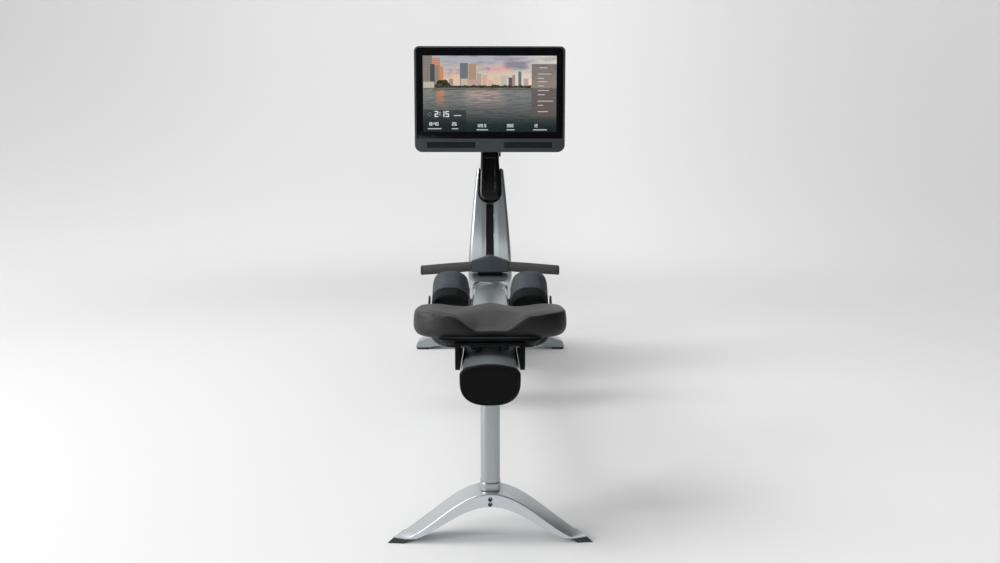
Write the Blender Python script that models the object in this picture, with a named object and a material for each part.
"""A connected rowing machine: rail, bow and mast, drive, handle, footrests, seat and display.

Metres, +Z up. +Y points forward, from the free end of the rail to the display. The origin is on
the floor under the middle of the machine.
"""

import bpy
import bmesh
import math
from mathutils import Matrix, Vector

# Gap kept between neighbouring pieces.
GAP = 0.0003

# Overall
HALF_LENGTH = 1.092
HEIGHT = 1.194

# Rail extrusion
RAIL_HALF_WIDTH = 0.0563
RAIL_TOP = 0.3536
RAIL_BOTTOM = 0.2775
RAIL_REAR = -1.0800
RAIL_FRONT = 0.3300
RAIL_WALL = 0.0040
SHOULDER = Vector((0.0500, 0.3452))
WIDEST = Vector((RAIL_HALF_WIDTH, 0.3370))
SIDE_FOOT_Z = 0.3250
TRACK_DEPTH = 0.0015
TRACK_MARGIN = 0.0008
TRACK_FRONT = 0.2600

# Rear post and foot
POST_Y = -1.029
POST_HALF_WIDTH = 0.019
POST_HALF_DEPTH = 0.025
COLLAR_TOP = 0.1140
REAR_FOOT_BACK = -1.068
REAR_FOOT_FRONT = -1.002
REAR_FOOT_TOP = 0.0980
REAR_FOOT_REACH = 0.162
FOOT_BOLT_Z = {"upper": 0.0867, "lower": 0.0769}
FOOT_HOLE_RADIUS = 0.0040
FOOT_HOLE_DEPTH = 0.0080
PAD_THICKNESS = 0.0080

# Bow: hood and mast share one path along their rear face.
# Each station is y, z, half width, thickness.
BOW_STATIONS = (
    (0.262, 0.3578, 0.0605, 0.0845),
    (0.300, 0.3610, 0.0650, 0.0855),
    (0.340, 0.3740, 0.0755, 0.0860),
    (0.385, 0.3975, 0.0785, 0.0860),
    (0.440, 0.4330, 0.0775, 0.0840),
    (0.500, 0.4900, 0.0745, 0.0780),
    (0.560, 0.5700, 0.0690, 0.0690),
    (0.610, 0.6600, 0.0612, 0.0590),
    (0.650, 0.7530, 0.0525, 0.0480),
)
BOW_SPLIT = 4.0
BOW_CORNER = 0.012
BOW_CROWN = 0.0035
HOOD_LIP_ARC = 0.018
CHANNEL_HALF_WIDTH = 0.0135
CHANNEL_DEPTH = 0.0060
CHANNEL_END = 6.80

# Drive
AXLE_Y = 0.775
AXLE_Z = 0.228
AXLE_RADIUS = 0.0075
FLYWHEEL_RADIUS = 0.145
HOUSING_HALF_WIDTH = 0.0755
HOUSING_WALL = 0.006
HOUSING_RIM = 0.965
# Each step is x and the share of the side outline that the shell reaches there.
HOUSING_STEPS = (
    (HOUSING_HALF_WIDTH, 0.850),
    (0.0730, 0.905),
    (0.0620, 0.960),
    (0.0400, 0.990),
    (GAP / 2, 1.0),
)
AXLE_HALF_LENGTH = 0.0672
BEARING_INNER = 0.0530
BEARING_OUTER = 0.0640
BEARING_RADIUS = 0.0160
INLET_Y = 0.985
INLET_Z = 0.235
INLET_RADIUS = 0.0086
INLET_PROUD = 0.0018
INLET_DEPTH = 0.0050
INLET_SOCKET_RADIUS = 0.0045
INLET_SOCKET_DEPTH = 0.0030
SPOOL_RADIUS = 0.0343
STRAP_HALF_WIDTH = 0.0125
STRAP_THICKNESS = 0.0012

# Handle
HANDLE_Y = 0.340
HANDLE_Z = 0.4067
PULL_RISE = math.radians(18.0)
HUB_HALF_WIDTH = 0.065
HUB_HALF_DEPTH = 0.022
HUB_BOTTOM = -0.0201
HUB_SIDE_TOP = 0.0199
HUB_APEX = 0.0416
HUB_CORNER = 0.0070
GRIP_END_X = 0.245
GRIP_DROOP = 0.0136
# Each station is the share of the grip's length and its radius there.
GRIP_STATIONS = (
    (0.0, 0.0172),
    (0.012, 0.0180),
    (0.5, 0.0178),
    (0.94, 0.0172),
    (0.985, 0.0150),
    (1.0, 0.0105),
)
GUIDE_ROLLER_RADIUS = 0.0120

# Front foot and transport wheels
FRONT_FOOT_HALF_SPAN = 0.3145
FRONT_FOOT_BACK = 0.908
FRONT_FOOT_FRONT = 0.985
FRONT_FOOT_TOP = 0.092
WHEEL_X = 0.240
WHEEL_Y = 1.018
WHEEL_Z = 0.036
WHEEL_RADIUS = 0.028
WHEEL_HALF_WIDTH = 0.010
PIN_RADIUS = 0.0040

# Footrests, each modelled on its own tilted frame: x across, y heel to toe, z off the bed
FOOTREST_X = 0.128
FOOTREST_HEEL_Y = -0.085
FOOTREST_HEEL_Z = 0.165
FOOTREST_TILT = math.radians(42.0)
BED_HALF_WIDTH = 0.061
BED_HEEL = 0.052
BED_TOE = 0.305
BED_HEEL_RADIUS = 0.058
BED_TOE_RADIUS = 0.022
PLATE_BOTTOM = -0.0120
BRACKET_DROP = 0.0125
PLATE_TOP = -0.0020
HOLE_RADIUS = 0.0026
HOLE_PITCH = 0.0135
HOLES_PER_COLUMN = 6
CUP_HALF_WIDTH = 0.048
CUP_HEEL = 0.056
CUP_WALL = 0.005
COVER_HEIGHT = 0.078
COVER_START = 0.2225
STRAP_START = 0.184
STRAP_END = 0.2215

# Seat
SEAT_REAR = -0.972
SEAT_FRONT = -0.742
SEAT_HALF_WIDTH = 0.160
CUSHION_BOTTOM = 0.3813
CUSHION_TOP = 0.4310
TRAY_HALF_WIDTH = 0.1055
TRAY_TOP = 0.3810
TRAY_BOTTOM = 0.3630
SKIRT_INNER = 0.0600
SKIRT_OUTER = 0.0690
SKIRT_BOTTOM = 0.3195
CARRIAGE_REAR = -0.990
CARRIAGE_FRONT = -0.760
ROLLER_RADIUS = 0.0095
ROLLER_X = 0.030
ROLLER_HALF_WIDTH = 0.009
ROLLER_Z = 0.3620
ROLLER_Y = {"front": -0.800, "rear": -0.940}

# Display
DISPLAY_FRONT = 0.505
DISPLAY_BACK = 0.550
# Each step is y and the share of the front outline.
DISPLAY_STEPS = (
    (DISPLAY_FRONT, 0.993),
    (DISPLAY_FRONT + 0.0015, 1.0),
    (0.5260, 1.0),
    (0.5400, 0.975),
    (DISPLAY_BACK, 0.90),
)
DISPLAY_HALF_WIDTH = 0.2755
DISPLAY_BOTTOM = 0.814
GLASS_HALF_WIDTH = 0.2685
GLASS_BOTTOM = 0.862
GLASS_TOP = 1.188
SPEAKER_INNER = 0.052
SPEAKER_OUTER = 0.231
SPEAKER_BOTTOM = 0.8280
SPEAKER_TOP = 0.8505
SWIVEL_Y = 0.600
BARREL_BOTTOM = 0.955
BARREL_TOP = 1.025
BARREL_RADIUS = 0.019
BUTTON_X = 0.225
BUTTON_Z = 0.860
BUTTON_RADIUS = 0.0060
KNUCKLE_RADIUS = 0.0180
SWIVEL_PIN_RADIUS = 0.0080

# Colours: base colour, roughness, metallic
FINISHES = {
    "silver": ((0.46, 0.48, 0.50), 0.35, 0.85),
    "track_steel": ((0.75, 0.76, 0.78), 0.22, 1.0),
    "black_plastic": ((0.020, 0.020, 0.022), 0.50, 0.0),
    "gloss_black": ((0.010, 0.010, 0.011), 0.15, 0.0),
    "slate_plastic": ((0.075, 0.085, 0.100), 0.55, 0.0),
    "bed_plastic": ((0.030, 0.038, 0.040), 0.60, 0.0),
    "foam": ((0.050, 0.050, 0.052), 0.80, 0.0),
    "webbing": ((0.010, 0.010, 0.012), 0.90, 0.0),
    "seat_skin": ((0.045, 0.043, 0.041), 0.55, 0.0),
    "rubber": ((0.030, 0.032, 0.035), 0.85, 0.0),
    "steel": ((0.55, 0.55, 0.56), 0.35, 1.0),
    "iron": ((0.20, 0.20, 0.21), 0.55, 0.8),
    "screen": ((0.005, 0.006, 0.008), 0.05, 0.0),
}


def clear_scene():
    for old in list(bpy.data.objects):
        bpy.data.objects.remove(old, do_unlink=True)


def finish_material(finish):
    material = bpy.data.materials.get(finish)
    if material:
        return material
    colour, roughness, metallic = FINISHES[finish]
    material = bpy.data.materials.new(finish)
    material.use_nodes = True
    shader = material.node_tree.nodes["Principled BSDF"]
    shader.inputs["Base Color"].default_value = (*colour, 1.0)
    shader.inputs["Roughness"].default_value = roughness
    shader.inputs["Metallic"].default_value = metallic
    return material


def solid(name, vertices, faces, finish, origin=(0, 0, 0), parent=None):
    """A named object from world (or, with a parent, local) vertices, its origin at the given point."""
    mesh = bpy.data.meshes.new(name)
    shift = Vector(origin)
    mesh.from_pydata([Vector(point) - shift for point in vertices], [], faces)
    shell = bmesh.new()
    shell.from_mesh(mesh)
    bmesh.ops.recalc_face_normals(shell, faces=shell.faces)
    shell.to_mesh(mesh)
    shell.free()
    mesh.shade_smooth()
    mesh.set_sharp_from_angle(angle=math.radians(32))
    mesh.materials.append(finish_material(finish))
    obj = bpy.data.objects.new(name, mesh)
    bpy.context.scene.collection.objects.link(obj)
    obj.location = shift
    obj.parent = parent
    return obj


def loft(rings):
    """Vertices and faces of a skin through equal rings, closed by a cap at each end."""
    count = len(rings[0])
    vertices = [point for ring in rings for point in ring]
    faces = []
    for row in range(len(rings) - 1):
        for i in range(count):
            j = (i + 1) % count
            low = row * count
            faces.append((low + i, low + j, low + count + j, low + count + i))
    faces.append(tuple(range(count)))
    faces.append(tuple(range(len(vertices) - count, len(vertices))))
    return vertices, faces


def tube(outer, inner):
    """Skin of a bar with a through hole: outer and inner are equal lists of rings along the bar."""
    count = len(outer[0])
    rows = len(outer)
    loops = list(outer) + list(reversed(inner))
    vertices = [point for ring in loops for point in ring]
    faces = []
    total = 2 * rows
    for row in range(total):
        low = row * count
        high = ((row + 1) % total) * count
        for i in range(count):
            j = (i + 1) % count
            faces.append((low + i, low + j, high + j, high + i))
    return vertices, faces


def prism(outline, axis, start, end):
    """Vertices and faces of a flat outline carried along one axis."""
    placed = {
        "X": lambda a, b, along: (along, a, b),
        "Y": lambda a, b, along: (a, along, b),
        "Z": lambda a, b, along: (a, b, along),
    }[axis]
    rings = [[placed(a, b, along) for a, b in outline] for along in (start, end)]
    return loft(rings)


def block(low, high):
    outline = ((low[0], low[1]), (high[0], low[1]), (high[0], high[1]), (low[0], high[1]))
    return prism(outline, "Z", low[2], high[2])


def circle(radius, count, turn=0.0):
    angles = [2 * math.pi * i / count + turn for i in range(count)]
    return [(radius * math.cos(a), radius * math.sin(a)) for a in angles]


def shaft(stations, centre, count=20):
    """A round solid along X: stations are x and radius, centre is its y and z."""
    rings = []
    for x, radius in stations:
        rings.append([(x, centre[0] + a, centre[1] + b) for a, b in circle(radius, count)])
    return loft(rings)


def turned_ring(profile, centre, count=28):
    """A round piece with a bore along X: the closed profile lists x and radius."""
    vertices = []
    for k in range(count):
        angle = 2 * math.pi * k / count
        for x, radius in profile:
            vertices.append((x, centre[0] + radius * math.cos(angle), centre[1] + radius * math.sin(angle)))
    size = len(profile)
    faces = []
    for k in range(count):
        low = k * size
        high = ((k + 1) % count) * size
        for i in range(size):
            j = (i + 1) % size
            faces.append((low + i, low + j, high + j, high + i))
    return vertices, faces


def rounded_outline(low, high, radius, steps=4):
    """A rectangle with round corners, counter-clockwise. radius is one value or four, from low-low."""
    radii = radius if isinstance(radius, tuple) else (radius,) * 4
    corners = (
        (low[0], low[1], 1, 1, math.pi),
        (high[0], low[1], -1, 1, 1.5 * math.pi),
        (high[0], high[1], -1, -1, 0.0),
        (low[0], high[1], 1, -1, 0.5 * math.pi),
    )
    points = []
    for (a, b, side_a, side_b, start), r in zip(corners, radii):
        for k in range(steps + 1):
            angle = start + 0.5 * math.pi * k / steps
            points.append((a + side_a * r + r * math.cos(angle), b + side_b * r + r * math.sin(angle)))
    return points


def superellipse(half_a, half_b, power, count):
    """Closed outline |a|^power + |b|^power = 1, scaled to the two half sizes."""
    points = []
    for i in range(count):
        angle = 2 * math.pi * i / count
        c = math.cos(angle)
        s = math.sin(angle)
        points.append(
            (
                half_a * math.copysign(abs(c) ** (2 / power), c),
                half_b * math.copysign(abs(s) ** (2 / power), s),
            )
        )
    return points


def scaled(outline, factor, centre):
    return [(centre[0] + (a - centre[0]) * factor, centre[1] + (b - centre[1]) * factor) for a, b in outline]


def mirrored_outline(half):
    """A closed outline from its right half, listed from the top centre to the bottom centre."""
    left = [(-x, z) for x, z in reversed(half[1:-1])]
    return list(half) + left


def cutter(name, vertices, faces, parent=None):
    """A helper solid that only cuts others."""
    tool = solid(name, vertices, faces, "steel", parent=parent)
    tool.hide_render = True
    tool.display_type = "WIRE"
    return tool


def combine(obj, tool, operation="DIFFERENCE"):
    modifier = obj.modifiers.new(operation.lower(), "BOOLEAN")
    modifier.operation = operation
    modifier.solver = "EXACT"
    modifier.object = tool


def joined_cutters(name, pieces, parent=None):
    """One cutter that holds several separate solids."""
    vertices = []
    faces = []
    for piece_vertices, piece_faces in pieces:
        start = len(vertices)
        vertices.extend(piece_vertices)
        faces.extend(tuple(i + start for i in face) for face in piece_faces)
    return cutter(name, vertices, faces, parent)


# ---- Rail ----


def rail_half(grow=0.0, recess=False):
    """Right half of the rail section: crowned top, flat shoulder, upright side, round underside."""
    drop = RAIL_TOP - SHOULDER.y
    half = []
    for i in range(5):
        x = SHOULDER.x * i / 4
        half.append((x, RAIL_TOP + grow - drop * (x / SHOULDER.x) ** 2))
    if recess:
        along = (WIDEST - SHOULDER).normalized()
        inward = Vector((along.y, -along.x))
        first = SHOULDER + along * TRACK_MARGIN
        last = WIDEST - along * TRACK_MARGIN
        for corner in (first, first + inward * TRACK_DEPTH, last + inward * TRACK_DEPTH, last):
            half.append(tuple(corner))
    half.append((WIDEST.x + grow, WIDEST.y))
    height = SIDE_FOOT_Z - RAIL_BOTTOM + grow
    width = RAIL_HALF_WIDTH + grow
    power = 2 / 2.6
    for k in range(8):
        angle = 0.5 * math.pi * k / 8
        half.append((width * math.cos(angle) ** power, SIDE_FOOT_Z - height * math.sin(angle) ** power))
    half.append((0.0, RAIL_BOTTOM - grow))
    return half


def rail_centre():
    return (0.0, 0.5 * (RAIL_TOP + RAIL_BOTTOM))


def make_rail():
    outer = mirrored_outline(rail_half(recess=True))
    centre = rail_centre()
    shrink_x = 1 - RAIL_WALL / RAIL_HALF_WIDTH
    shrink_z = 1 - 2 * RAIL_WALL / (RAIL_TOP - RAIL_BOTTOM)
    inner = [(x * shrink_x, centre[1] + (z - centre[1]) * shrink_z) for x, z in outer]
    rings = {}
    for key, outline in (("outer", outer), ("inner", inner)):
        rings[key] = [[(x, y, z) for x, z in outline] for y in (RAIL_REAR, RAIL_FRONT)]
    solid("rail_beam", *tube(rings["outer"], rings["inner"]), "silver")


def make_rail_tracks():
    along = (WIDEST - SHOULDER).normalized()
    inward = Vector((along.y, -along.x))
    margin = TRACK_MARGIN + GAP
    first = SHOULDER + along * margin
    last = WIDEST - along * margin
    depth = TRACK_DEPTH - GAP
    strip = (first, last, last + inward * depth, first + inward * depth)
    for side, sign in (("left", -1), ("right", 1)):
        outline = [(sign * point.x, point.y) for point in strip]
        solid(f"rail_track_{side}", *prism(outline, "Y", RAIL_REAR, TRACK_FRONT), "track_steel")


def make_end_cap():
    """The cap is a little larger than the rail, with a round rim about a flat, slightly sunk face."""
    outline = mirrored_outline(rail_half(grow=0.0010))
    centre = rail_centre()
    stations = (
        (RAIL_REAR - GAP, 0.995),
        (-1.0820, 1.0),
        (-1.0868, 1.0),
        (-1.0900, 0.985),
        (-HALF_LENGTH, 0.950),
        (-HALF_LENGTH, 0.930),
        (-1.0911, 0.910),
    )
    rings = [[(x, y, z) for x, z in scaled(outline, factor, centre)] for y, factor in stations]
    solid("rail_end_cap", *loft(rings), "black_plastic")


# ---- Rear post and foot ----


def make_post():
    outline = superellipse(POST_HALF_WIDTH, POST_HALF_DEPTH, 3.2, 28)
    rings = []
    for z, grow in ((COLLAR_TOP + GAP, 1.0), (RAIL_BOTTOM - 0.0006, 1.0)):
        rings.append([(x * grow, POST_Y + y * grow, z) for x, y in outline])
    solid("rear_post", *loft(rings), "silver")
    rings = []
    for z, grow in ((REAR_FOOT_TOP + 0.0007, 1.05), (COLLAR_TOP - 0.0012, 1.05), (COLLAR_TOP, 1.01)):
        rings.append([(x * grow, POST_Y + y * grow, z) for x, y in outline])
    solid("post_collar", *loft(rings), "silver")


def raised_cosine(x, reach):
    """1 at the middle, falling smoothly to 0 at the reach."""
    return 0.5 * (1 + math.cos(math.pi * min(abs(x) / reach, 1.0)))


def rear_foot_ring(t):
    """Section of the arch at t from -1 to 1. The tips sweep back and the rear face thins to nothing."""
    a = abs(t)
    sign = math.copysign(1, t)
    lowest = PAD_THICKNESS + GAP
    back_x = REAR_FOOT_REACH * a
    front_x = back_x + 0.026 * a**4
    front_y = REAR_FOOT_FRONT - 0.058 * a**5
    back_top = max(REAR_FOOT_TOP * raised_cosine(back_x, 0.200), lowest + 0.0025)
    front_top = back_top + 0.005 * math.sin(math.pi * a)
    back_low = max(0.0713 * raised_cosine(back_x, 0.183), lowest)
    front_low = max(front_top - 0.024 * (1 - a**3) - 0.0025, lowest)
    edge = 0.0022 * (1 - 0.8 * a)
    return [
        (sign * back_x, REAR_FOOT_BACK + edge, back_top),
        (sign * front_x, front_y - edge, front_top),
        (sign * front_x, front_y, front_top - min(edge, 0.001)),
        (sign * front_x, front_y, front_low),
        (sign * back_x, REAR_FOOT_BACK + edge, back_low),
        (sign * back_x, REAR_FOOT_BACK, back_low + min(edge, 0.0008)),
        (sign * back_x, REAR_FOOT_BACK, back_top - min(edge, 0.001)),
    ]


def make_rear_foot():
    stations = 28
    rings = [rear_foot_ring(2 * k / stations - 1) for k in range(stations + 1)]
    foot = solid("rear_foot", *loft(rings), "silver")
    holes = []
    depths = (REAR_FOOT_BACK - 0.01, REAR_FOOT_BACK + FOOT_HOLE_DEPTH)
    for z in FOOT_BOLT_Z.values():
        rings = [[(a, y, z + b) for a, b in circle(FOOT_HOLE_RADIUS, 16)] for y in depths]
        holes.append(loft(rings))
    combine(foot, joined_cutters("cut_foot_bolt_holes", holes))
    bottom = ((0.168, -1.0690), (0.199, -1.0660), (0.178, -1.0220), (0.146, -1.0220))
    top = ((0.160, -1.0685), (0.190, -1.0640), (0.170, -1.0190), (0.138, -1.0220))
    levels = ((bottom, 0.0), (top, PAD_THICKNESS))
    for side, sign in (("left", -1), ("right", 1)):
        rings = [[(sign * x, y, z) for x, y in outline] for outline, z in levels]
        solid(f"rear_foot_pad_{side}", *loft(rings), "rubber")


def make_foot_bolts():
    for place, z in FOOT_BOLT_Z.items():
        centre_y = REAR_FOOT_BACK + 0.0045
        rings = []
        for y, radius in ((-0.0015, 0.0030), (-0.0010, 0.0036), (0.0030, 0.0036)):
            rings.append([(a, centre_y + y, z + b) for a, b in circle(radius, 16)])
        bolt = solid(f"rear_foot_bolt_{place}", *loft(rings), "iron")
        rings = [[(a, y, z + b) for a, b in circle(0.0018, 6)] for y in (centre_y - 0.004, centre_y + 0.0012)]
        combine(bolt, cutter(f"cut_socket_{place}", *loft(rings)))


# ---- Bow ----


def bow_station(s):
    """Position, half width and thickness at s along the bow, by a smooth curve through its stations."""
    last = len(BOW_STATIONS) - 1
    k = min(int(s), last - 1)
    t = s - k

    def tangent(i):
        before = BOW_STATIONS[max(i - 1, 0)]
        after = BOW_STATIONS[min(i + 1, last)]
        steps = min(i + 1, last) - max(i - 1, 0)
        return [(b - a) / steps for a, b in zip(before, after)]

    first, second = BOW_STATIONS[k], BOW_STATIONS[k + 1]
    slope_a, slope_b = tangent(k), tangent(k + 1)
    h00 = 2 * t**3 - 3 * t**2 + 1
    h10 = t**3 - 2 * t**2 + t
    h01 = -2 * t**3 + 3 * t**2
    h11 = t**3 - t**2
    return [
        h00 * p + h10 * m + h01 * q + h11 * n
        for p, m, q, n in zip(first, slope_a, second, slope_b)
    ]


def bow_frame(s):
    """Rear-face point, direction along the bow and inward normal, each as y and z."""
    y, z, half_width, thickness = bow_station(s)
    ahead = bow_station(min(s + 0.01, len(BOW_STATIONS) - 1))
    behind = bow_station(max(s - 0.01, 0.0))
    along = Vector((ahead[0] - behind[0], ahead[1] - behind[1])).normalized()
    inward = Vector((along.y, -along.x))
    return Vector((y, z)), along, inward, half_width, thickness


def bow_section(s, shift=0.0):
    """Closed ring at s: round corners and a slight crown on the rear face."""
    point, along, inward, half_width, thickness = bow_frame(s)
    outline = rounded_outline((-half_width, 0.0), (half_width, thickness), BOW_CORNER, 3)
    crown_points = [(half_width * k / 3, 0.0) for k in (-1.5, 0, 1.5)]
    outline = outline[:4] + crown_points + outline[4:]
    ring = []
    for x, depth in outline:
        if depth < BOW_CORNER:
            depth -= BOW_CROWN * (1 - (x / half_width) ** 2)
        place = point + inward * depth + along * shift
        ring.append((x, place.x, place.y))
    return ring


def bow_strip(half_width, shallow, deep, start, end, count):
    """A bar that follows the bow's rear face between two depths."""
    rings = []
    for k in range(count + 1):
        point, along, inward, _, _ = bow_frame(start + (end - start) * k / count)
        near = point + inward * shallow
        far = point + inward * deep
        rings.append(
            [
                (-half_width, near.x, near.y),
                (half_width, near.x, near.y),
                (half_width, far.x, far.y),
                (-half_width, far.x, far.y),
            ]
        )
    return loft(rings)


def pull_point(distance, lift=0.0):
    """Point on the strap's straight line, measured from the handle into the machine."""
    forward = Vector((math.cos(PULL_RISE), -math.sin(PULL_RISE)))
    upward = Vector((math.sin(PULL_RISE), math.cos(PULL_RISE)))
    return Vector((HANDLE_Y, HANDLE_Z)) + forward * distance + upward * lift


def pull_bar(half_width, low, high, start, end):
    """A bar along the strap's line."""
    rings = []
    for distance in (start, end):
        under = pull_point(distance, low)
        over = pull_point(distance, high)
        rings.append(
            [
                (-half_width, under.x, under.y),
                (half_width, under.x, under.y),
                (half_width, over.x, over.y),
                (-half_width, over.x, over.y),
            ]
        )
    return loft(rings)


def mast_tip_rings():
    """Rings that round off the mast's top edge."""
    last = len(BOW_STATIONS) - 1
    point, along, inward, _, thickness = bow_frame(last)
    middle = point + inward * (0.5 * thickness)
    rings = []
    for rise, factor in ((0.0045, 0.97), (0.0070, 0.90)):
        ring = []
        for x, y, z in bow_section(last):
            from_middle = (Vector((y, z)) - middle) * factor
            place = middle + from_middle + along * rise
            ring.append((x * factor, place.x, place.y))
        rings.append(ring)
    return rings


def make_bow():
    rings = [bow_section(BOW_SPLIT * k / 10) for k in range(11)]
    half_width = BOW_STATIONS[0][2]
    rings[0] = [(x, y + HOOD_LIP_ARC * (1 - (x / half_width) ** 2), z) for x, y, z in rings[0]]
    hood = solid("bow_hood", *loft(rings), "silver")
    socket = mirrored_outline(rail_half(grow=0.0005))
    combine(hood, cutter("cut_rail_socket", *prism(socket, "Y", 0.2, RAIL_FRONT + 0.005)))
    combine(hood, cutter("cut_strap_slot", *pull_bar(0.0145, -0.004, 0.004, 0.020, 0.085)))
    bay = cutter("cut_roller_bay", *block((-0.024, 0.408, 0.285), (0.024, 0.505, 0.398)))
    combine(hood, bay)

    last = len(BOW_STATIONS) - 1
    rings = [bow_section(BOW_SPLIT, shift=GAP)]
    rings += [bow_section(BOW_SPLIT + (last - BOW_SPLIT) * k / 12) for k in range(1, 13)]
    rings += mast_tip_rings()
    mast = solid("mast", *loft(rings), "silver")
    combine(mast, bay)
    channel = bow_strip(CHANNEL_HALF_WIDTH, -0.012, CHANNEL_DEPTH, BOW_SPLIT - 0.1, CHANNEL_END, 10)
    combine(mast, cutter("cut_mast_channel", *channel))
    combine(mast, cutter("cut_arm_pocket", *loft(arm_rings(0.0012))))
    trim = bow_strip(
        CHANNEL_HALF_WIDTH - GAP, CHANNEL_DEPTH - 0.0028, CHANNEL_DEPTH - GAP, BOW_SPLIT + 0.01, 6.60, 10
    )
    solid("mast_channel_trim", *trim, "black_plastic")


def make_cradle():
    """The dock that the handle's hub rests on, a wedge between the hood and the hub."""
    floor_points = []
    for s in (1.75, 2.0, 2.2, 2.4):
        point, _, inward, _, _ = bow_frame(s)
        floor_points.append(point - inward * (BOW_CROWN + GAP))
    top = HANDLE_Z + HUB_BOTTOM - GAP
    outline = [(point.x, point.y) for point in floor_points if point.y < top - 0.001]
    outline = outline + [(outline[-1][0], top), (outline[0][0], top)]
    solid("handle_cradle", *prism(outline, "X", -0.0425, 0.0425), "black_plastic")


# ---- Display arm ----

# Each station is y and z of the arm's rear face, its half width and its thickness.
ARM_STATIONS = (
    (0.5895, 0.6350, 0.0215, 0.022),
    (0.5915, 0.6400, 0.0310, 0.026),
    (0.5950, 0.6490, 0.0375, 0.029),
    (0.5995, 0.6600, 0.0395, 0.030),
    (0.6205, 0.7080, 0.0382, 0.030),
    (0.6400, 0.7600, 0.0365, 0.029),
    (0.6480, 0.8050, 0.0345, 0.027),
    (0.6480, 0.8700, 0.0340, 0.025),
    (0.6440, 0.9500, 0.0330, 0.024),
    (0.6400, 1.0200, 0.0310, 0.022),
)


def arm_rings(grow=0.0):
    """Sections of the arm, square to its length, with broad chamfers on the rear edges."""
    rings = []
    last = len(ARM_STATIONS) - 1
    for i, (y, z, half_width, thickness) in enumerate(ARM_STATIONS):
        before = ARM_STATIONS[max(i - 1, 0)]
        after = ARM_STATIONS[min(i + 1, last)]
        along = Vector((after[0] - before[0], after[1] - before[1])).normalized()
        inward = Vector((along.y, -along.x))
        half = half_width + grow
        point = Vector((y, z))
        if grow and i == 0:
            point -= along * grow
        chamfer = 0.007
        outline = (
            (-half + chamfer, -grow),
            (half - chamfer, -grow),
            (half, chamfer * 0.8 - grow),
            (half, thickness + grow),
            (-half, thickness + grow),
            (-half, chamfer * 0.8 - grow),
        )
        ring = []
        for x, depth in outline:
            place = point + inward * depth
            ring.append((x, place.x, place.y))
        rings.append(ring)
    return rings


def make_display_arm():
    arm = solid("display_arm", *loft(arm_rings()), "gloss_black")
    barrel = circle(BARREL_RADIUS, 28)
    rings = [[(a, SWIVEL_Y + b, z) for a, b in barrel] for z in (BARREL_BOTTOM, BARREL_TOP)]
    combine(arm, cutter("arm_barrel", *loft(rings)), "UNION")
    web = block((-0.014, SWIVEL_Y + 0.010, BARREL_BOTTOM + 0.004), (0.014, 0.655, 1.012))
    combine(arm, cutter("arm_web", *web), "UNION")
    bore = [[(a, SWIVEL_Y + b, z) for a, b in circle(SWIVEL_PIN_RADIUS + GAP, 20)] for z in (0.94, 1.04)]
    combine(arm, cutter("cut_barrel_bore", *loft(bore)))


# ---- Drive ----


def housing_outline():
    """Side view of the drive housing: along the bow's underside, over the nose and back underneath."""
    points = []
    for k in range(8):
        s = 1.6 + (5.9 - 1.6) * k / 7
        point, _, inward, _, thickness = bow_frame(s)
        under = point + inward * (thickness + 0.0012)
        points.append((under.x, under.y))
    shell = (
        (0.690, 0.520),
        (0.800, 0.462),
        (0.920, 0.398),
        (1.030, 0.330),
        (1.086, 0.270),
        (HALF_LENGTH, 0.230),
        (1.070, 0.182),
        (1.000, 0.132),
        (0.890, 0.098),
        (0.790, 0.064),
        (0.690, 0.068),
        (0.580, 0.104),
        (0.460, 0.180),
        (0.380, 0.245),
    )
    return points + list(shell)


def make_housing():
    """Two cup-shaped shells that meet at the middle. Each swells least at its side face."""
    outline = housing_outline()
    centre = (AXLE_Y, 0.250)
    for side, sign in (("left", -1), ("right", 1)):
        rings = []
        for x, factor in HOUSING_STEPS:
            rings.append([(sign * x, y, z) for y, z in scaled(outline, factor, centre)])
        for x, factor in reversed(HOUSING_STEPS):
            depth = max(x - HOUSING_WALL, GAP / 2) if x > GAP else x
            inner = scaled(outline, factor * HOUSING_RIM, centre)
            rings.append([(sign * depth, y, z) for y, z in inner])
        shell = solid(f"housing_{side}", *loft(rings), "black_plastic")
        combine(shell, bpy.data.objects["cut_housing_strap_way"])
        if side == "right":
            radius = INLET_RADIUS + 0.0004
            ends = ((HOUSING_HALF_WIDTH - 0.015, radius), (HOUSING_HALF_WIDTH + 0.005, radius))
            combine(shell, cutter("cut_inlet_hole", *shaft(ends, (INLET_Y, INLET_Z))))
    make_inlet()


def make_inlet():
    """The socket for the power lead, set in the right shell's side face."""
    proud = HOUSING_HALF_WIDTH + INLET_PROUD
    stations = (
        (HOUSING_HALF_WIDTH - INLET_DEPTH, INLET_RADIUS),
        (proud - 0.0006, INLET_RADIUS),
        (proud, INLET_RADIUS - 0.0008),
    )
    inlet = solid("power_inlet", *shaft(stations, (INLET_Y, INLET_Z)), "black_plastic")
    floor = HOUSING_HALF_WIDTH - INLET_SOCKET_DEPTH
    ends = ((floor, INLET_SOCKET_RADIUS), (proud + 0.003, INLET_SOCKET_RADIUS))
    combine(inlet, cutter("cut_inlet_socket", *shaft(ends, (INLET_Y, INLET_Z), 16)))


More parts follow.
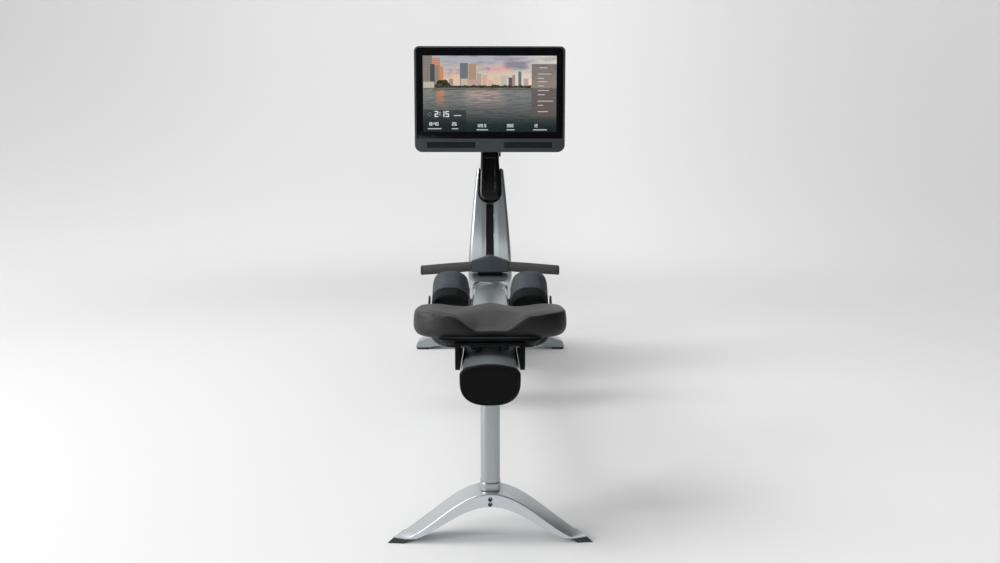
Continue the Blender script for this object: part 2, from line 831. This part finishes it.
def make_drive():
    centre = (AXLE_Y, AXLE_Z)
    bore = AXLE_RADIUS + GAP
    origin = (0.0, AXLE_Y, AXLE_Z)
    end, neck = AXLE_HALF_LENGTH, AXLE_HALF_LENGTH - 0.0010
    tip = AXLE_RADIUS - 0.0007
    stations = ((-end, tip), (-neck, AXLE_RADIUS), (neck, AXLE_RADIUS), (end, tip))
    solid("flywheel_axle", *shaft(stations, centre), "steel")
    rim = FLYWHEEL_RADIUS
    profile = (
        (0.018, bore), (0.018, 0.022), (0.030, 0.024), (0.030, rim - 0.026), (0.022, rim - 0.024),
        (0.022, rim), (0.046, rim), (0.046, rim - 0.024), (0.037, rim - 0.026), (0.037, 0.024),
        (0.050, 0.022), (0.050, bore),
    )
    solid("flywheel", *turned_ring(profile, centre, 36), "iron", origin=origin)
    profile = (
        (-0.016, bore), (-0.016, 0.040), (-0.0135, 0.040), (-0.0135, SPOOL_RADIUS),
        (0.0135, SPOOL_RADIUS), (0.0135, 0.040), (0.016, 0.040), (0.016, bore),
    )
    solid("strap_spool", *turned_ring(profile, centre, 24), "slate_plastic", origin=origin)
    for side, sign in (("left", -1), ("right", 1)):
        near, far = sign * BEARING_INNER, sign * BEARING_OUTER
        profile = ((near, bore), (near, BEARING_RADIUS), (far, BEARING_RADIUS), (far, bore))
        solid(f"axle_bearing_{side}", *turned_ring(profile, centre, 24), "steel")
    magnet = solid("brake_magnet", *block((0.008, 0.895, 0.185), (0.060, 0.975, 0.271)), "iron")
    slot = block((0.0175, 0.80, 0.10), (0.0505, 0.932, 0.35))
    combine(magnet, cutter("cut_magnet_slot", *slot))


def make_strap():
    solid(
        "handle_strap",
        *pull_bar(STRAP_HALF_WIDTH, -STRAP_THICKNESS / 2, STRAP_THICKNESS / 2, 0.0236, 0.4690),
        "webbing",
        origin=(0.0, HANDLE_Y, HANDLE_Z),
    )
    lower = -STRAP_THICKNESS / 2 - GAP - GUIDE_ROLLER_RADIUS
    centre = pull_point(0.100, lower)
    ends = 0.0237
    radius = GUIDE_ROLLER_RADIUS
    stations = (
        (-ends, 0.004), (-0.0165, 0.004), (-0.0160, radius + 0.0030), (-0.0140, radius + 0.0030),
        (-0.0136, radius), (0.0136, radius), (0.0140, radius + 0.0030), (0.0160, radius + 0.0030),
        (0.0165, 0.004), (ends, 0.004),
    )
    roller = shaft(stations, (centre.x, centre.y))
    solid("guide_roller", *roller, "slate_plastic", origin=(0.0, centre.x, centre.y))


# ---- Handle ----


def make_handle():
    frame = bpy.data.objects.new("handle_frame", None)
    frame.location = (0.0, HANDLE_Y, HANDLE_Z)
    bpy.context.scene.collection.objects.link(frame)
    rings = []
    for x in (-1.0, -0.94, -0.5, 0.0, 0.5, 0.94, 1.0):
        rise = HUB_SIDE_TOP + (HUB_APEX - HUB_SIDE_TOP) * (1 - abs(x)) ** 1.15
        depth = HUB_HALF_DEPTH - 0.004 * abs(x)
        shrink = 0.0015 if abs(x) == 1.0 else 0.0
        low = (-depth + shrink, HUB_BOTTOM + shrink)
        high = (depth - shrink, rise - shrink)
        outline = rounded_outline(low, high, HUB_CORNER, 3)
        rings.append([(x * HUB_HALF_WIDTH, y, z) for y, z in outline])
    solid("handle_hub", *loft(rings), "slate_plastic", parent=frame)
    start = HUB_HALF_WIDTH + GAP
    length = GRIP_END_X - start
    for side, sign in (("left", -1), ("right", 1)):
        rings = []
        for share, radius in GRIP_STATIONS:
            x = start + length * share
            z = -GRIP_DROOP * share
            rings.append([(sign * x, a, z + b) for a, b in circle(radius, 20)])
        solid(f"grip_{side}", *loft(rings), "foam", parent=frame)


# ---- Front foot ----


def front_foot_ring(t):
    """Section of the front arch: a deep bar with blunt, rounded ends."""
    a = abs(t)
    sign = math.copysign(1, t)
    lowest = PAD_THICKNESS + GAP
    x = FRONT_FOOT_HALF_SPAN * a
    top = FRONT_FOOT_TOP - 0.050 * (x / 0.290) ** 2
    if x > 0.290:
        share = (x - 0.290) / (FRONT_FOOT_HALF_SPAN - 0.290)
        top = 0.042 - 0.030 * (1 - math.sqrt(max(1 - share**2, 0.0)))
    low = max(0.060 * (1 - (x / 0.262) ** 2), lowest)
    top = max(top, low + 0.003)
    back = FRONT_FOOT_BACK + 0.004 * (1 - a)
    front = FRONT_FOOT_FRONT
    edge = 0.004
    return [
        (sign * x, back + edge, top),
        (sign * x, front - edge, top),
        (sign * x, front, top - min(edge, 0.0013)),
        (sign * x, front, low + 0.0008),
        (sign * x, front - edge, low),
        (sign * x, back + edge, low),
        (sign * x, back, low + 0.0008),
        (sign * x, back, top - min(edge, 0.0013)),
    ]


def make_front_foot():
    stations = [-1 + k / 11 for k in range(23)]
    stations = sorted(set(stations + [-0.97, 0.97, -0.985, 0.985]))
    foot = solid("front_foot", *loft([front_foot_ring(t) for t in stations]), "silver")
    for side, sign in (("left", -1), ("right", 1)):
        x_in = sorted((sign * (WHEEL_X - 0.0185), sign * (WHEEL_X - 0.0120)))
        lug = block((x_in[0], 0.975, WHEEL_Z - 0.010), (x_in[1], WHEEL_Y + 0.010, WHEEL_Z + 0.010))
        combine(foot, cutter(f"foot_lug_{side}", *lug), "UNION")
        ends = ((sign * (WHEEL_X - 0.0140), PIN_RADIUS), (sign * (WHEEL_X + 0.0115), PIN_RADIUS))
        pin = shaft(ends, (WHEEL_Y, WHEEL_Z), 16)
        combine(foot, cutter(f"foot_pin_{side}", *pin), "UNION")
        pad = rounded_outline((0.262, FRONT_FOOT_BACK + 0.001), (0.3125, FRONT_FOOT_FRONT - 0.001), 0.010, 3)
        rings = []
        for z, factor in ((0.0, 0.94), (0.002, 1.0), (PAD_THICKNESS, 1.0)):
            rings.append([(sign * x, y, z) for x, y in scaled(pad, factor, (0.2872, 0.9465))])
        solid(f"front_foot_pad_{side}", *loft(rings), "rubber")
        bore = PIN_RADIUS + GAP
        half = WHEEL_HALF_WIDTH
        tread = WHEEL_RADIUS - 0.004
        middle = sign * WHEEL_X
        profile = (
            (middle - half, bore), (middle - half, tread), (middle - half + 0.003, WHEEL_RADIUS),
            (middle + half - 0.003, WHEEL_RADIUS), (middle + half, tread), (middle + half, bore),
        )
        solid(
            f"transport_wheel_{side}",
            *turned_ring(profile, (WHEEL_Y, WHEEL_Z), 28),
            "rubber",
            origin=(middle, WHEEL_Y, WHEEL_Z),
        )


# ---- Footrests ----


def bed_underside(y):
    """Height of the plane under the bed plates at world y."""
    along = (y - FOOTREST_HEEL_Y - math.sin(FOOTREST_TILT) * BRACKET_DROP) / math.cos(FOOTREST_TILT)
    return FOOTREST_HEEL_Z + along * math.sin(FOOTREST_TILT) - math.cos(FOOTREST_TILT) * BRACKET_DROP


def make_footrest_bracket():
    bar = solid("footrest_bracket", *block((-0.178, 0.040, 0.232), (0.178, 0.074, 0.2585)), "black_plastic")
    hanger = block((-0.030, 0.046, 0.250), (0.030, 0.068, RAIL_BOTTOM - 0.0010))
    combine(bar, cutter("bracket_hanger", *hanger), "UNION")
    for side, sign in (("left", -1), ("right", 1)):
        near, far, low = 0.034, 0.0735, 0.240
        wedge = [(near, low), (far, low), (far, bed_underside(far)), (near, bed_underside(near))]
        ends = sorted((sign * 0.078, sign * 0.1775))
        combine(bar, cutter(f"bracket_wedge_{side}", *prism(wedge, "X", *ends)), "UNION")


def arch_outline(half_width, height, power, count=12):
    """Half a superellipse from the right foot of the arch over its crown to the left foot."""
    points = []
    for k in range(count + 1):
        angle = math.pi * k / count
        c = math.cos(angle)
        across = half_width * math.copysign(abs(c) ** (2 / power), c)
        points.append((across, height * math.sin(angle) ** (2 / power)))
    return points


def make_footrest(side, sign):
    frame = bpy.data.objects.new(f"footrest_frame_{side}", None)
    frame.location = (sign * FOOTREST_X, FOOTREST_HEEL_Y, FOOTREST_HEEL_Z)
    frame.rotation_euler = (FOOTREST_TILT, 0.0, 0.0)
    bpy.context.scene.collection.objects.link(frame)
    # Bed plate with two columns of adjustment holes and two slots on the rail side
    radii = (BED_HEEL_RADIUS, BED_HEEL_RADIUS, BED_TOE_RADIUS, BED_TOE_RADIUS)
    base = rounded_outline((-BED_HALF_WIDTH, BED_HEEL), (BED_HALF_WIDTH, BED_TOE), radii, 6)
    middle = (0.0, 0.5 * (BED_HEEL + BED_TOE))
    rings = []
    for z, inset in ((PLATE_BOTTOM, 0.0), (PLATE_TOP - 0.0015, 0.0), (PLATE_TOP, 0.0015)):
        factor = 1 - inset / BED_HALF_WIDTH
        rings.append([(x, y, z) for x, y in scaled(base, factor, middle)])
    plate = solid(f"foot_plate_{side}", *loft(rings), "bed_plastic", parent=frame)
    holes = []
    for x in (-0.0185, 0.0185):
        for k in range(HOLES_PER_COLUMN):
            y = 0.122 + HOLE_PITCH * k + (0.006 if x * sign < 0 else 0.0)
            rings = [[(x + a, y + b, z) for a, b in circle(HOLE_RADIUS, 8)] for z in (-0.02, 0.01)]
            holes.append(loft(rings))
    for x in (0.036, 0.052):
        slot = rounded_outline((-sign * x - 0.0016, 0.105), (-sign * x + 0.0016, 0.205), 0.0015, 2)
        holes.append(prism(slot, "Z", -0.02, 0.01))
    combine(plate, joined_cutters(f"cut_plate_holes_{side}", holes, frame))
    # Heel cup that slides on the bed
    low, high = (-CUP_HALF_WIDTH, CUP_HEEL), (CUP_HALF_WIDTH, CUP_HEEL + 0.104)
    outer = rounded_outline(low, high, (0.046, 0.046, 0.008, 0.008), 6)
    rings = [[(x, y, z) for x, y in outer] for z in (PLATE_TOP + GAP, 0.0420)]
    cup = solid(f"heel_cup_{side}", *loft(rings), "slate_plastic", parent=frame)
    inside = CUP_HALF_WIDTH - CUP_WALL
    low, high = (-inside, CUP_HEEL + CUP_WALL), (inside, CUP_HEEL + 0.146)
    inner = rounded_outline(low, high, (0.041, 0.041, 0.004, 0.004), 6)
    combine(cup, cutter(f"cut_heel_cup_{side}", *prism(inner, "Z", 0.0025, 0.060), frame))
    near, far = CUP_HEEL + 0.036, CUP_HEEL + 0.116
    slope = ((near, 0.050), (far, 0.004), (far, 0.060), (near, 0.060))
    combine(cup, cutter(f"cut_heel_slope_{side}", *prism(slope, "X", -0.08, 0.08), frame))
    # Toe cover, a shell open towards the heel and the bed
    outer_arch = arch_outline(0.0595, COVER_HEIGHT, 2.6)
    inner_arch = arch_outline(0.0555, COVER_HEIGHT - 0.004, 2.6)
    rings = [
        [(x, COVER_START, z) for x, z in outer_arch],
        [(x, 0.285, z) for x, z in outer_arch],
        [(x * 0.95, 0.300, z * 0.88) for x, z in outer_arch],
        [(x * 0.85, 0.309, z * 0.62) for x, z in outer_arch],
        [(x * 0.83, 0.305, z * 0.58) for x, z in inner_arch],
        [(x * 0.93, 0.297, z * 0.84) for x, z in inner_arch],
        [(x, 0.283, z) for x, z in inner_arch],
        [(x, COVER_START, z) for x, z in inner_arch],
    ]
    rings = [[(x, y, z + PLATE_TOP + GAP) for x, y, z in ring] for ring in rings]
    solid(f"toe_cover_{side}", *open_shell(rings), "slate_plastic", parent=frame)
    # Webbing strap over the instep
    outer_arch = arch_outline(0.0600, COVER_HEIGHT - 0.0005, 2.5)
    inner_arch = arch_outline(0.0575, COVER_HEIGHT - 0.0030, 2.5)
    rings = [
        [(x, STRAP_START, z) for x, z in outer_arch],
        [(x, STRAP_END, z) for x, z in outer_arch],
        [(x, STRAP_END, z) for x, z in inner_arch],
        [(x, STRAP_START, z) for x, z in inner_arch],
    ]
    rings = [[(x, y, z + PLATE_TOP + GAP) for x, y, z in ring] for ring in rings]
    solid(f"foot_strap_{side}", *open_shell(rings), "webbing", parent=frame)


def open_shell(rings):
    """Closed skin of a thick sheet: open rows of points that run round its section and meet again."""
    count = len(rings[0])
    rows = len(rings)
    vertices = [point for ring in rings for point in ring]
    faces = []
    for row in range(rows):
        low = row * count
        high = ((row + 1) % rows) * count
        for i in range(count - 1):
            faces.append((low + i, low + i + 1, high + i + 1, high + i))
    faces.append(tuple(row * count for row in range(rows)))
    faces.append(tuple(row * count + count - 1 for row in range(rows)))
    return vertices, faces


# ---- Seat ----


def cushion_height(x, y):
    """Saddle top: raised sides, two hollows, a low centre ridge and a tail-bone dip at the rear."""
    u = x / SEAT_HALF_WIDTH
    v = (2 * y - SEAT_REAR - SEAT_FRONT) / (SEAT_FRONT - SEAT_REAR)
    height = CUSHION_TOP - 0.0075 * (1 - u * u) - 0.006 * max(v, 0.0) ** 2
    height += 0.0050 * math.exp(-((u / 0.16) ** 2)) * max(v, 0.0)
    rear = max(-v, 0.0) ** 1.5
    return height - 0.024 * math.exp(-((u / 0.30) ** 2)) * rear


def make_cushion():
    middle = 0.5 * (SEAT_REAR + SEAT_FRONT)
    half_depth = 0.5 * (SEAT_FRONT - SEAT_REAR)
    outline = superellipse(SEAT_HALF_WIDTH, half_depth, 3.6, 28)
    rings = []
    for z, factor in ((CUSHION_BOTTOM, 0.90), (0.3880, 0.975), (0.3990, 1.0)):
        rings.append([(x * factor, middle + y * factor, z) for x, y in outline])
    for factor, drop in ((0.985, 0.006), (0.95, 0.001), (0.80, 0.0), (0.55, 0.0), (0.28, 0.0)):
        ring = []
        for x, y in outline:
            px, py = x * factor, middle + y * factor
            ring.append((px, py, max(cushion_height(px, py) - drop, 0.4005)))
        rings.append(ring)
    solid("seat_cushion", *loft(rings), "seat_skin")


def make_tray():
    middle = 0.5 * (CARRIAGE_REAR + CARRIAGE_FRONT) + 0.004
    low, high = (-TRAY_HALF_WIDTH, CARRIAGE_REAR + 0.010), (TRAY_HALF_WIDTH, CARRIAGE_FRONT - 0.004)
    outline = rounded_outline(low, high, 0.030, 5)
    rings = []
    for z, factor in ((TRAY_BOTTOM, 0.90), (0.3700, 0.965), (0.3785, 1.0), (TRAY_TOP, 1.0)):
        rings.append([(x, y, z) for x, y in scaled(outline, factor, (0.0, middle))])
    tray = solid("seat_tray", *loft(rings), "black_plastic")
    hollow = block((-0.0705, CARRIAGE_REAR - 0.02, 0.350), (0.0705, CARRIAGE_FRONT + 0.02, 0.3755))
    combine(tray, cutter("cut_tray_hollow", *hollow))


def make_carriage():
    plate_top = 0.3752
    plate_low = 0.3719
    frame = solid(
        "carriage_frame",
        *block((-SKIRT_OUTER, CARRIAGE_REAR, plate_low), (SKIRT_OUTER, CARRIAGE_FRONT, plate_top)),
        "black_plastic",
    )
    for side, sign in (("left", -1), ("right", 1)):
        radius = 0.016
        low, high = (CARRIAGE_REAR, SKIRT_BOTTOM), (CARRIAGE_FRONT, plate_top - 0.0004)
        outline = rounded_outline(low, high, (radius, radius, 0.002, 0.002), 4)
        ends = sorted((sign * SKIRT_INNER, sign * (SKIRT_OUTER + 0.0004)))
        combine(frame, cutter(f"skirt_{side}", *prism(outline, "X", *ends)), "UNION")
    for place, y in ROLLER_Y.items():
        centre = (y, ROLLER_Z)
        ends = SKIRT_INNER - GAP
        axle = shaft(((-ends, 0.0030), (ends, 0.0030)), centre, 12)
        solid(f"roller_axle_{place}", *axle, "steel")
        for side, sign in (("left", -1), ("right", 1)):
            middle = sign * ROLLER_X
            half = ROLLER_HALF_WIDTH
            bore = 0.0030 + GAP
            profile = (
                (middle - half, bore), (middle - half, 0.0085), (middle - half + 0.001, ROLLER_RADIUS),
                (middle + half - 0.001, ROLLER_RADIUS), (middle + half, 0.0085), (middle + half, bore),
            )
            solid(
                f"seat_roller_{place}_{side}",
                *turned_ring(profile, centre, 20),
                "slate_plastic",
                origin=(middle, y, ROLLER_Z),
            )


def make_seat_stop():
    """A rubber saddle under the rail whose two horns meet the skirts."""
    outer = rounded_outline((-0.0675, 0.2620), (0.0675, 0.3350), (0.020, 0.020, 0.002, 0.002), 4)
    stop = solid("seat_stop_front", *prism(outer, "Y", -0.012, 0.012), "rubber")
    hole = mirrored_outline(rail_half(grow=0.0012))
    combine(stop, cutter("cut_stop_rail", *prism(hole, "Y", -0.05, 0.05)))
    combine(stop, cutter("cut_stop_mouth", *block((-0.0575, -0.05, 0.325), (0.0575, 0.05, 0.36))))


# ---- Display ----


def make_display():
    head = bpy.data.objects.new("display_frame_origin", None)
    head.location = (0.0, SWIVEL_Y, 0.0)
    bpy.context.scene.collection.objects.link(head)
    low = (-DISPLAY_HALF_WIDTH, DISPLAY_BOTTOM)
    high = (DISPLAY_HALF_WIDTH, HEIGHT)
    middle = (0.0, 0.5 * (DISPLAY_BOTTOM + HEIGHT))
    outline = rounded_outline(low, high, (0.026, 0.026, 0.018, 0.018), 6)
    rings = []
    for y, factor in DISPLAY_STEPS:
        rings.append([(x, y - SWIVEL_Y, z) for x, z in scaled(outline, factor, middle)])
    shell = solid("display_shell", *loft(rings), "slate_plastic", parent=head)
    front = DISPLAY_FRONT - SWIVEL_Y
    radii = (0.004, 0.004, 0.012, 0.012)
    low, high = (-GLASS_HALF_WIDTH - GAP, GLASS_BOTTOM - GAP), (GLASS_HALF_WIDTH + GAP, GLASS_TOP + GAP)
    recess = rounded_outline(low, high, radii, 4)
    combine(shell, cutter("cut_glass_recess", *prism(recess, "Y", front - 0.01, front + 0.0042), head))
    glass = rounded_outline((-GLASS_HALF_WIDTH, GLASS_BOTTOM), (GLASS_HALF_WIDTH, GLASS_TOP), radii, 4)
    solid("display_glass", *prism(glass, "Y", front + 0.0007, front + 0.0039), "screen", parent=head)
    for side, sign in (("left", -1), ("right", 1)):
        ends = sorted((sign * SPEAKER_INNER, sign * SPEAKER_OUTER))
        bay = rounded_outline((ends[0], SPEAKER_BOTTOM), (ends[1], SPEAKER_TOP), 0.002, 2)
        combine(shell, cutter(f"cut_speaker_{side}", *prism(bay, "Y", front - 0.01, front + 0.0030), head))
        low, high = (ends[0] + GAP, SPEAKER_BOTTOM + GAP), (ends[1] - GAP, SPEAKER_TOP - GAP)
        grille = prism(rounded_outline(low, high, 0.0018, 2), "Y", front + 0.0005, front + 0.0027)
        solid(f"speaker_grille_{side}", *grille, "black_plastic", parent=head)
    back = DISPLAY_BACK - SWIVEL_Y
    hole = []
    for y in (back - 0.006, back + 0.01):
        hole.append([(BUTTON_X + a, y, BUTTON_Z + b) for a, b in circle(BUTTON_RADIUS + 0.0006, 20)])
    combine(shell, cutter("cut_button_hole", *loft(hole), head))
    rings = []
    for y, radius in ((-0.0035, BUTTON_RADIUS), (0.0010, BUTTON_RADIUS), (0.0018, BUTTON_RADIUS - 0.001)):
        rings.append([(BUTTON_X + a, back + y, BUTTON_Z + b) for a, b in circle(radius, 20)])
    solid("power_button", *loft(rings), "gloss_black", parent=head)
    make_bracket(head, back)


def make_bracket(head, back):
    """Plate on the display's back with two knuckles, a pin through them and a cable tab below."""
    plate = rounded_outline((-0.055, 0.860), (0.055, 1.080), 0.012, 3)
    sheet = prism(plate, "Y", back + GAP, back + 0.0060)
    bracket = solid("display_bracket", *sheet, "gloss_black", parent=head)
    for name, low, high in (("lower", 0.9350, BARREL_BOTTOM - GAP), ("upper", BARREL_TOP + GAP, 1.0450)):
        arm = block((-0.0160, back + 0.0040, low), (0.0160, 0.0, high))
        combine(bracket, cutter(f"bracket_knuckle_{name}", *arm, head), "UNION")
        eye = [[(a, b, z) for a, b in circle(KNUCKLE_RADIUS, 24)] for z in (low, high)]
        combine(bracket, cutter(f"bracket_eye_{name}", *loft(eye), head), "UNION")
    pin = [[(a, b, z) for a, b in circle(SWIVEL_PIN_RADIUS, 16)] for z in (0.940, 1.040)]
    combine(bracket, cutter("bracket_pin", *loft(pin), head), "UNION")
    tab = block((0.0340, back + GAP, 0.7990), (0.0405, back + 0.0055, 0.8700))
    combine(bracket, cutter("bracket_tab", *tab, head), "UNION")


def main():
    clear_scene()
    make_rail()
    make_rail_tracks()
    make_end_cap()
    make_post()
    make_rear_foot()
    make_foot_bolts()
    make_bow()
    make_cradle()
    make_display_arm()
    way = pull_bar(0.0165, -0.012, 0.010, 0.12, 0.30)
    cutter("cut_housing_strap_way", *way)
    make_housing()
    make_drive()
    make_strap()
    make_handle()
    make_front_foot()
    make_footrest_bracket()
    make_footrest("left", -1)
    make_footrest("right", 1)
    make_cushion()
    make_tray()
    make_carriage()
    make_seat_stop()
    make_display()


main()
